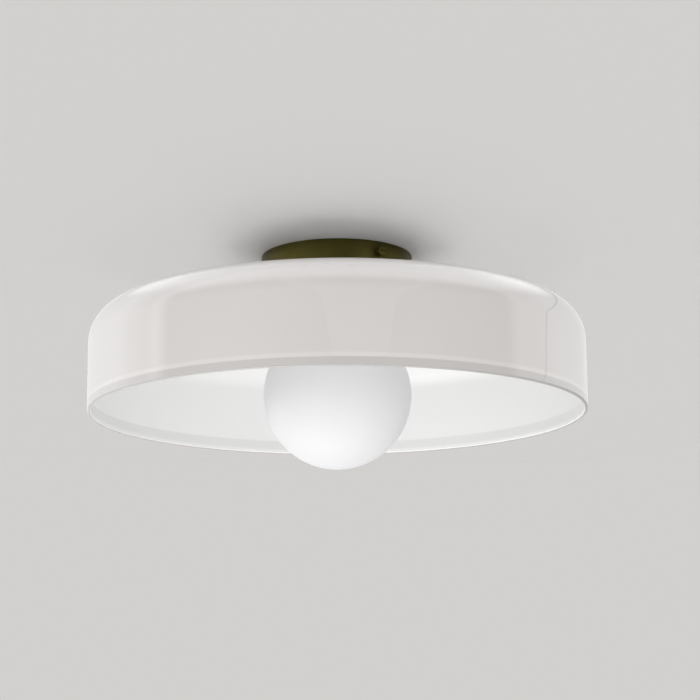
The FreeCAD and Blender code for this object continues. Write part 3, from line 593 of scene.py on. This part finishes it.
def make_materials():
    """Every finish of the light, by name."""
    for make_group in (tone_group, grain_group, skin_group, height_band_group):
        make_group()
    shade = bpy.context.scene.shade_settings
    globe = bpy.context.scene.lamp_settings.colour
    bronze = bpy.context.scene.canopy_settings.bronze
    return {
        "clear": clear_glass("Clear glass", shade.glass_tint, 0.015),
        "opal": opal_glass(shade),
        "globe": let_light_through(
            surface("Satin opal globe", globe, toned(globe, 0.985), drift=7.0, rough=(0.42, 0.5), grain=300.0,
                    bump=0.05), 0.9, bounced=0.5),
        "bronze": surface("Burnished bronze", bronze, toned(bronze, 0.62), drift=14.0, rough=(0.34, 0.5),
                          grain=35.0, stretch=(1.0, 1.0, 60.0), bump=0.35, depth=0.03 * MM, Metallic=1.0),
        "gasket": surface("Silicone gasket", (0.02, 0.02, 0.02), rough=(0.5, 0.7), grain=900.0),
        "zinc": surface("Zinc plate", (0.40, 0.40, 0.39), (0.31, 0.32, 0.33), drift=90.0,
                        rough=(0.34, 0.52), grain=350.0, Metallic=1.0),
        "black": surface("Black thermoplastic", (0.022, 0.022, 0.023), rough=(0.36, 0.5), grain=700.0,
                         bump=0.25),
        "porcelain": surface("Steatite", (0.80, 0.78, 0.74), rough=(0.5, 0.65), grain=800.0),
        "brass": surface("Drawn brass", (0.72, 0.52, 0.22), (0.60, 0.42, 0.17), drift=60.0,
                         rough=(0.22, 0.4), grain=300.0, Metallic=1.0),
        "white": surface("White thermoplastic", (0.78, 0.77, 0.75), rough=(0.32, 0.45), grain=700.0),
        "nickel": surface("Nickel plate", (0.66, 0.64, 0.60), rough=(0.18, 0.3), grain=300.0, Metallic=1.0),
        "black_glass": surface("Black glass", (0.01, 0.01, 0.012), rough=(0.08, 0.16)),
        "solder": surface("Solder", (0.55, 0.56, 0.58), rough=(0.35, 0.5), grain=400.0, Metallic=1.0),
        "stem": clear_glass("Stem glass", (0.95, 0.97, 0.97), 0.01),
        "phosphor": surface("Phosphor", (0.85, 0.62, 0.12), rough=(0.45, 0.6)),
        "board": surface("Circuit board", (0.72, 0.70, 0.58), rough=(0.35, 0.5)),
        "nylon": surface("Natural nylon", (0.82, 0.80, 0.74), rough=(0.35, 0.5), grain=600.0),
        "brown": surface("Brown sleeve", (0.10, 0.035, 0.014), rough=(0.4, 0.55), grain=700.0),
        "blue": surface("Blue sleeve", (0.012, 0.06, 0.26), rough=(0.4, 0.55), grain=700.0),
        "earth": surface("Green and yellow sleeve", (0.05, 0.30, 0.03), (0.72, 0.60, 0.03), drift=120.0,
                         rough=(0.4, 0.55), grain=700.0),
    }


finishes = {}

node_finishes = {
    "gasket": ["upper_gasket", "lower_gasket"],
    "bronze": ["side_washer_front", "side_washer_back"],
    "zinc": ["mounting_strap", "ear_nuts", "holder_grub_screws", "stick_wires", "clamp_screws",
             "block_screws", "earth_tag", "earth_washer"],
    "black": ["lampholder_cap", "upper_ring_nut", "shade_ring"],
    "porcelain": ["lampholder_core"],
    "brass": ["screw_shell", "centre_contact", "holder_terminals", "terminal_clamps", "earth_screw"],
    "white": ["bulb_collar"],
    "nickel": ["bulb_cap"],
    "black_glass": ["bulb_insulator"],
    "solder": ["bulb_tip"],
    "stem": ["bulb_stem"],
    "phosphor": ["light_sticks"],
    "board": ["driver_board"],
    "nylon": ["terminal_block"],
    "brown": ["line_lead"],
    "blue": ["neutral_lead"],
    "earth": ["earth_lead"],
}


class LIGHT_OT_finishes(bpy.types.Operator):
    """Make every finish and give the carried-over nodes theirs"""

    bl_idname = "light.apply_finishes"
    bl_label = "Finishes"

    def execute(self, context):
        finishes.update(make_materials())
        for finish, nodes in node_finishes.items():
            for node in nodes:
                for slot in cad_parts[node].material_slots:
                    slot.material = finishes[finish]
        return {"FINISHED"}


# pieces


def shade_curve(settings, inset):
    """Points of the shade's skin, from the hole across the roof and down to the wall, at an inset."""
    roof_z = shade_high[2] - inset
    shoulder_r = shade_high[0] - settings.shoulder
    shoulder_z = shade_high[2] - settings.shoulder
    roof = [(settings.hole, roof_z), ((settings.hole + shoulder_r) / 2, roof_z)]
    return roof + arc(shoulder_r, shoulder_z, settings.shoulder - inset, 90, 0, count=28)


class LIGHT_OT_shade(bpy.types.Operator):
    """Build the blown shade: a clear casing with a fire-polished lip, and the opal layer inside it"""

    bl_idname = "light.build_shade"
    bl_label = "Glass shade"

    def execute(self, context):
        settings = context.scene.shade_settings
        radius = shade_high[0]
        inner = radius - settings.wall
        lip = settings.wall / 2
        lip_z = shade_low[2] + lip
        casing_end = (settings.wall - settings.casing) / 2
        casing = (
            shade_curve(settings, 0)
            + even_rows(radius, shade_high[2] - settings.shoulder, lip_z, rows=8)[1:]
            + arc(radius - lip, lip_z, lip, 0, -180, count=14)[1:]
            + arc(inner + casing_end, lip_z, casing_end, -180, 0, count=12)[1:]
            + shade_curve(settings, settings.casing)[::-1]
        )
        dress(lathe("shade_casing", casing, steps=224), "shade", "shade_glass", "clear", "glass_shade")
        inset = settings.casing - HIDDEN_OVERLAP
        opal_end = (settings.wall - inset) / 2
        opal = (
            shade_curve(settings, inset)
            + arc(inner + opal_end, lip_z, opal_end, 0, -180, count=12)
            + shade_curve(settings, settings.wall)[::-1]
        )
        dress(lathe("shade_opal", opal, steps=224), "shade", "shade_glass", "opal", "glass_shade")
        return {"FINISHED"}


class LIGHT_OT_canopy(bpy.types.Operator):
    """Build the spun canopy with its eased rim and the holes for the side screws"""

    bl_idname = "light.build_canopy"
    bl_label = "Canopy"

    def execute(self, context):
        settings = context.scene.canopy_settings
        wall, edge, corner = settings.wall, settings.rim_edge, settings.corner
        radius = canopy_high[0]
        inner = radius - wall
        base = canopy_low[2]
        rim_z = canopy_high[2] - edge
        outline = (
            arc(radius - edge, rim_z, edge, 90, 0, count=4)
            + even_rows(radius, rim_z, base + corner, rows=6)[1:-1]
            + arc(radius - corner, base + corner, corner, 0, -90, count=8)
            + [(settings.hole, base), (settings.hole, base + wall)]
            + arc(radius - corner, base + corner, corner - wall, -90, 0, count=6)
            + [(inner, rim_z)]
            + arc(inner + edge, rim_z, edge, 180, 90, count=3)[1:]
        )
        cup = lathe("canopy_cup", outline, steps=160)
        reach = radius + corner
        drill(cup, settings.screw_hole, (0, -reach, screw_z), (0, reach, screw_z))
        dress(cup, "fixture", "bronze", "bronze", "canopy")
        return {"FINISHED"}


class LIGHT_OT_side_screws(bpy.types.Operator):
    """Build the two cylinder-head side screws with their driver slots and threads"""

    bl_idname = "light.build_side_screws"
    bl_label = "Side screws"

    def execute(self, context):
        settings = context.scene.screw_settings
        head, shank, ease, pitch = settings.head, settings.shank, settings.ease, settings.pitch
        tip, seat, top = -screw_high[1], -washer_low[1], -screw_low[1]
        outline = (
            [(0, tip), (shank - ease, tip)]
            + even_rows(shank, tip + ease, seat, rows=int((seat - tip) / pitch * ROWS_PER_THREAD))
            + [(head - ease / 2, seat), (head, seat + ease / 2)]
            + arc(head - ease, top - ease, ease, 0, 90, count=6)
            + [(0, top)]
        )
        for side, name in ((-1, "front"), (1, "back")):
            screw = lathe("side_screw_" + name + "_turned", outline, steps=40)
            thread(screw, tip + ease, seat - pitch, shank, settings.thread, pitch)
            lay = Matrix.Rotation(math.pi / 2 * -side, 4, "X")
            screw.data.transform(Matrix.Translation((0, 0, screw_z)) @ lay)
            screw.data.update()
            self.cut_slot(screw, settings, side, top)
            dress(screw, "screw_" + name, "bronze", "bronze", "side_screw_" + name)
        return {"FINISHED"}

    def cut_slot(self, screw, settings, side, top):
        """Cut the driver slot across the head."""
        deselect()
        depth = settings.slot_depth + CUT_OVERRUN
        middle = side * (top + CUT_OVERRUN - depth / 2)
        length = settings.head * 3
        bpy.ops.mesh.primitive_cube_add(size=1, location=(0, middle, screw_z))
        cutter = bpy.context.object
        cutter.scale = (length, depth, settings.slot_width)
        cut_away(screw, cutter)


class LIGHT_OT_lamp(bpy.types.Operator):
    """Build the globe lamp's satin opal envelope"""

    bl_idname = "light.build_lamp"
    bl_label = "Globe lamp"

    def execute(self, context):
        settings = context.scene.lamp_settings
        radius = globe_high[0]
        centre = globe_low[2] + radius
        inner = radius - settings.wall
        lean = math.degrees(math.acos(settings.mouth / radius))
        inner_lean = math.degrees(math.acos(settings.mouth / inner))
        outline = (
            arc(0, centre, radius, lean, -90, count=72)
            + arc(0, centre, inner, -90, inner_lean, count=48)
        )
        dress(lathe("globe_envelope", outline, steps=144), "bulb", "lamp_glass", "globe", "bulb_globe")
        return {"FINISHED"}


class LIGHT_OT_lampholder(bpy.types.Operator):
    """Build the lampholder's shell with its outer thread"""

    bl_idname = "light.build_lampholder"
    bl_label = "Lampholder shell"

    def execute(self, context):
        settings = context.scene.holder_settings
        mouth, bore, ease, pitch = settings.mouth, settings.bore, settings.ease, settings.pitch
        outer = holder_high[0]
        low, high = holder_low[2], holder_high[2]
        step = low + settings.step
        outline = (
            [(mouth, low + ease), (mouth + ease, low), (outer - ease, low)]
            + even_rows(outer, low + ease, high - ease, rows=int((high - low) / pitch * ROWS_PER_THREAD))
            + [(outer - ease, high), (bore, high), (bore, step), (mouth, step)]
        )
        shell = lathe("lampholder_threaded_shell", outline, steps=96)
        thread(shell, low + ease, high - pitch, outer, settings.thread, pitch)
        dress(shell, "fixture", "holder_black", "black", "lampholder_shell")
        return {"FINISHED"}


# stage

# Broad suns: name, turn right of the camera and height above the horizon in degrees, strength, and width
# in degrees.
SUNS = (
    ("key", -18, -60, 1.4, 90),
    ("under", 0, -88, 0.4, 60),
    ("rear", 180, -43, 4.3, 50),
    ("top", 10, 40, 0.3, 60),
)

# Distances from the axis between which the ceiling and floor fade away, for each kind of ray that sees them.
CEILING_FADES = {
    "Is Camera Ray": (0.7, 1.6),
    "Is Glossy Ray": (0.14, 0.22),
    "Is Diffuse Ray": (0.066, 0.095),
    "Is Shadow Ray": (0.066, 0.095),
}
FLOOR_FADES = {"Is Camera Ray": (0.6, 1.2)}


def stage_material(name, colour, fades):
    """Plain pale paint, seen only from its front and only by the kinds of ray in fades."""
    material = bpy.data.materials.new(name)
    tree = empty_tree(material)
    path = add(tree, "ShaderNodeLightPath", (-500, 500)).outputs
    spread = vector_maths(tree, "LENGTH", (-700, -200), coordinates(tree, (-900, -200))["Object"])
    seen = 0.0
    for row, (kind, span) in enumerate(fades.items()):
        fade = ramp(tree, spread["Value"], span, (1.0, 0.0), (-450, -200 - 300 * row))
        part = maths(tree, "MULTIPLY", (-200, -200 - 300 * row), path[kind], fade)
        seen = maths(tree, "MAXIMUM", (50, -200 - 300 * row), seen, part)
    side = add(tree, "ShaderNodeNewGeometry", (-500, 100)).outputs["Backfacing"]
    front = maths(tree, "SUBTRACT", (-250, 100), 1.0, side)
    clear = add(tree, "ShaderNodeBsdfTransparent", (500, -300))
    paint = add(tree, "ShaderNodeBsdfDiffuse", (500, -150), Color=colour4(colour))
    mix = add(tree, "ShaderNodeMixShader", (700, 0), maths(tree, "MULTIPLY", (300, 0), front, seen),
              clear.outputs["BSDF"], paint.outputs["BSDF"])
    add(tree, "ShaderNodeOutputMaterial", (900, 0), Surface=mix.outputs["Shader"])
    return material


def stage_disc(name, radius, hole, height, upwards, material):
    """Flat round stage surface that faces up or down, with a round hole in it."""
    deselect()
    bpy.ops.mesh.primitive_circle_add(vertices=96, radius=radius, location=(0, 0, 0))
    disc = bpy.context.object
    disc.name = name
    bpy.ops.object.mode_set(mode="EDIT")
    bpy.ops.mesh.select_all(action="SELECT")
    bpy.ops.mesh.extrude_region_move()
    bpy.ops.transform.resize(value=(hole / radius, hole / radius, 1))
    bpy.ops.mesh.select_all(action="SELECT")
    bpy.ops.mesh.remove_doubles(threshold=MERGE_DISTANCE)
    bpy.ops.mesh.normals_make_consistent(inside=False)
    bpy.ops.object.mode_set(mode="OBJECT")
    if (disc.data.polygons[0].normal.z > 0) != upwards:
        disc.data.flip_normals()
    disc.location = (0, 0, height)
    disc.data.materials.append(material)
    return disc


def direction(turn, rise):
    """Unit vector away from the light, at a turn round it and a height above the horizon."""
    return Vector((math.sin(turn) * math.cos(rise), -math.cos(turn) * math.cos(rise), math.sin(rise)))


def sun(name, turn, rise, strength, width):
    """Broad soft light from a direction."""
    data = bpy.data.lights.new(name, "SUN")
    data.energy = strength
    data.angle = width
    light = bpy.data.objects.new(name, data)
    bpy.context.scene.collection.objects.link(light)
    light.rotation_euler = direction(turn, rise).to_track_quat("Z", "Y").to_euler()
    return light


def gloss_level(tree, settings):
    """Strength of the room and its soft panels, as gloss shows them in each direction.

    Directions are turned with the camera: X is right of it, Y ahead of it and Z up. The bearing is how far
    a level direction points ahead, from -1 to 1.
    """
    # A pair is the span of bearings, or of a direction's X or Z, over which a panel starts or ends.
    rear_edge, front_edge, side_edge = (-0.17, 0.02), (-0.10, 0.10), (-0.15, 0.15)
    flank_fade, flank_base, right_foot = (0.45, 1.0), 0.42, (0.06, 0.14)
    overhead_edge, overhead_tilt = (0.38, 0.75), 0.22
    seam_plane, seam_start, seam_end = (0.557, 0.830, -0.4), (0.679, 0.687), (0.693, 0.701)
    seam_side, seam_share = (0.0, 0.05), 0.35
    front_left, front_left_level = (-0.9, 0.1), 1.2
    front_right, front_right_level = (0.2, 0.8), 0.35

    generated = coordinates(tree, (-900, 0))["Generated"]
    turned = add(tree, "ShaderNodeVectorRotate", (-700, 0), Vector=generated, rotation_type="Z_AXIS",
                 Angle=-settings.view_turn).outputs["Vector"]
    axes = add(tree, "ShaderNodeSeparateXYZ", (-500, 0), turned).outputs
    x, y, z = axes["X"], axes["Y"], axes["Z"]
    level = add(tree, "ShaderNodeCombineXYZ", (-300, -200), x, y)
    reach = vector_maths(tree, "LENGTH", (-100, -200), level.outputs["Vector"])
    bearing = maths(tree, "DIVIDE", (100, -100), y, reach["Value"])

    sideways = ramp(tree, x, side_edge, (settings.left_panel, settings.right_panel), (300, -300))
    fall = add(tree, "ShaderNodeMapRange", (300, 300), Value=bearing, From_Min=flank_fade[0],
               From_Max=flank_fade[1], To_Min=1.0, To_Max=0.0)
    flank = maths(tree, "MULTIPLY_ADD", (500, 200), sideways, fall.outputs["Result"], flank_base)
    rear = ramp(tree, bearing, rear_edge, (0.0, 1.0), (300, -100))
    flanks = maths(tree, "MULTIPLY", (500, 0), rear, flank)
    foot = ramp(tree, z, right_foot, (0.0, 1.0), (300, -950))
    left = ramp(tree, x, side_edge, (1.0, 0.0), (300, -1100))
    flanks = maths(tree, "MULTIPLY", (600, -100), flanks, maths(tree, "MAXIMUM", (500, -1000), foot, left))

    ahead = maths(tree, "MINIMUM", (-100, 300), bearing, 0.0)
    height = maths(tree, "MULTIPLY_ADD", (100, 300), ahead, overhead_tilt, z)
    above = ramp(tree, height, overhead_edge, (0.0, settings.overhead_panel), (300, 100))
    panels = maths(tree, "MAXIMUM", (700, 0), flanks, above)

    across = vector_maths(tree, "DOT_PRODUCT", (100, -500), turned, seam_plane)["Value"]
    start = ramp(tree, across, seam_start, (0.0, 1.0), (300, -500))
    end = ramp(tree, across, seam_end, (1.0, 0.0), (300, -650))
    right = ramp(tree, x, seam_side, (0.0, 1.0), (300, -800))
    seam = maths(tree, "MULTIPLY", (700, -550), maths(tree, "MULTIPLY", (500, -550), start, end), right)
    seamed = maths(tree, "MULTIPLY", (1000, -200), panels,
                   ramp(tree, seam, (0.0, 1.0), (1.0, seam_share), (850, -550)))

    front = ramp(tree, bearing, front_edge, (1.0, 0.0), (700, -600))
    near_left = ramp(tree, x, front_left, (front_left_level, 0.0), (700, -400))
    near_right = ramp(tree, x, front_right, (0.0, front_right_level), (700, -500))
    near = maths(tree, "ADD", (850, -450), near_left, near_right)
    room = maths(tree, "MULTIPLY_ADD", (1000, -450), near, front, settings.room)
    return maths(tree, "ADD", (1150, -200), seamed, room)


def studio_world(settings):
    """Pale even light, with the backdrop for the camera and soft panels that only gloss shows."""
    world = bpy.data.worlds.new("Studio")
    bpy.context.scene.world = world
    tree = empty_tree(world)
    white = (1.0, 1.0, 1.0, 1.0)
    path = add(tree, "ShaderNodeLightPath", (900, 500)).outputs
    even = add(tree, "ShaderNodeBackground", (1000, 300), Color=white, Strength=settings.even_light)
    plain = add(tree, "ShaderNodeBackground", (1000, 150), Color=colour4(settings.backdrop), Strength=1.0)
    shine = add(tree, "ShaderNodeBackground", (1200, 0), Color=white, Strength=gloss_level(tree, settings))
    glossy = add(tree, "ShaderNodeMixShader", (1200, 300), path["Is Glossy Ray"], even.outputs["Background"],
                 shine.outputs["Background"])
    straight = maths(tree, "MAXIMUM", (1050, 500), path["Is Camera Ray"], path["Is Transmission Ray"])
    seen = add(tree, "ShaderNodeMixShader", (1350, 150), straight, glossy.outputs["Shader"],
               plain.outputs["Background"])
    add(tree, "ShaderNodeOutputWorld", (1500, 0), Surface=seen.outputs["Shader"])


def place_camera(settings):
    """Camera at the photograph's viewing angle, below the lip and pointing up at the ceiling."""
    data = bpy.data.cameras.new("Camera")
    data.lens = settings.lens
    data.sensor_width = 36.0
    camera = bpy.data.objects.new("Camera", data)
    bpy.context.scene.collection.objects.link(camera)
    back = direction(settings.view_turn, -settings.view_drop) * settings.distance
    place = Matrix.Translation(Vector((0, 0, shade_low[2])) + back)
    heading = Euler((math.pi / 2 + settings.aim_rise, 0, settings.view_turn - settings.aim_turn))
    roll = Matrix.Rotation(settings.roll, 4, "Z")
    camera.matrix_world = place @ heading.to_matrix().to_4x4() @ roll
    bpy.context.scene.camera = camera


class LIGHT_OT_stage(bpy.types.Operator):
    """Set the ceiling, floor, soft light and camera"""

    bl_idname = "light.build_stage"
    bl_label = "Stage"

    def execute(self, context):
        scene = context.scene
        settings = scene.stage_settings
        scene.view_settings.view_transform = "Standard"
        glow = settings.even_light
        lights = {}
        for name, turn, rise, strength, width in SUNS:
            turn, rise, width = math.radians(turn), math.radians(rise), math.radians(width)
            lights[name] = sun(name, settings.view_turn + turn, rise, strength, width)
            glow += max(0.0, math.sin(-rise)) * strength / math.pi
        # The paint's colour times the light from below gives the backdrop's colour.
        paint = stage_material("Ceiling paint", toned(settings.backdrop, 1 / glow), CEILING_FADES)
        mouth = canopy_high[0] - scene.canopy_settings.wall
        lit = bpy.data.collections.new("Lit by the rear light")
        lit.objects.link(stage_disc("ceiling", settings.ceiling_radius, mouth, 0, False, paint))
        lights["rear"].light_linking.receiver_collection = lit
        pale = stage_material("Pale floor", settings.floor_colour, FLOOR_FADES)
        stage_disc("floor", settings.floor_radius, 0, -settings.floor_depth, True, pale)
        studio_world(settings)
        place_camera(settings)
        return {"FINISHED"}


class LIGHT_PT_panel(bpy.types.Panel):
    """List of the steps that dress the ceiling light"""

    bl_idname = "LIGHT_PT_panel"
    bl_label = "Ceiling light"
    bl_space_type = "VIEW_3D"
    bl_region_type = "UI"
    bl_category = "Ceiling light"

    def draw(self, context):
        for operator in operators:
            self.layout.operator(operator.bl_idname)
        for group in property_groups:
            settings = getattr(context.scene, group)
            column = self.layout.column()
            for name in settings.__annotations__:
                column.prop(settings, name)


operators = [
    LIGHT_OT_finishes, LIGHT_OT_shade, LIGHT_OT_canopy, LIGHT_OT_side_screws, LIGHT_OT_lamp,
    LIGHT_OT_lampholder, LIGHT_OT_stage,
]
property_groups = {
    "shade_settings": ShadeSettings,
    "canopy_settings": CanopySettings,
    "screw_settings": ScrewSettings,
    "lamp_settings": LampSettings,
    "holder_settings": HolderSettings,
    "stage_settings": StageSettings,
}


def register():
    for name, group in property_groups.items():
        bpy.utils.register_class(group)
        setattr(bpy.types.Scene, name, bpy.props.PointerProperty(type=group))
    for operator in operators:
        bpy.utils.register_class(operator)
    bpy.utils.register_class(LIGHT_PT_panel)


def unregister():
    bpy.utils.unregister_class(LIGHT_PT_panel)
    for operator in reversed(operators):
        bpy.utils.unregister_class(operator)
    for name, group in property_groups.items():
        delattr(bpy.types.Scene, name)
        bpy.utils.unregister_class(group)


def main():
    register()
    bpy.ops.light.apply_finishes()
    bpy.ops.light.build_shade()
    bpy.ops.light.build_canopy()
    bpy.ops.light.build_side_screws()
    bpy.ops.light.build_lamp()
    bpy.ops.light.build_lampholder()
    bpy.ops.light.build_stage()


if __name__ == "__main__":
    main()
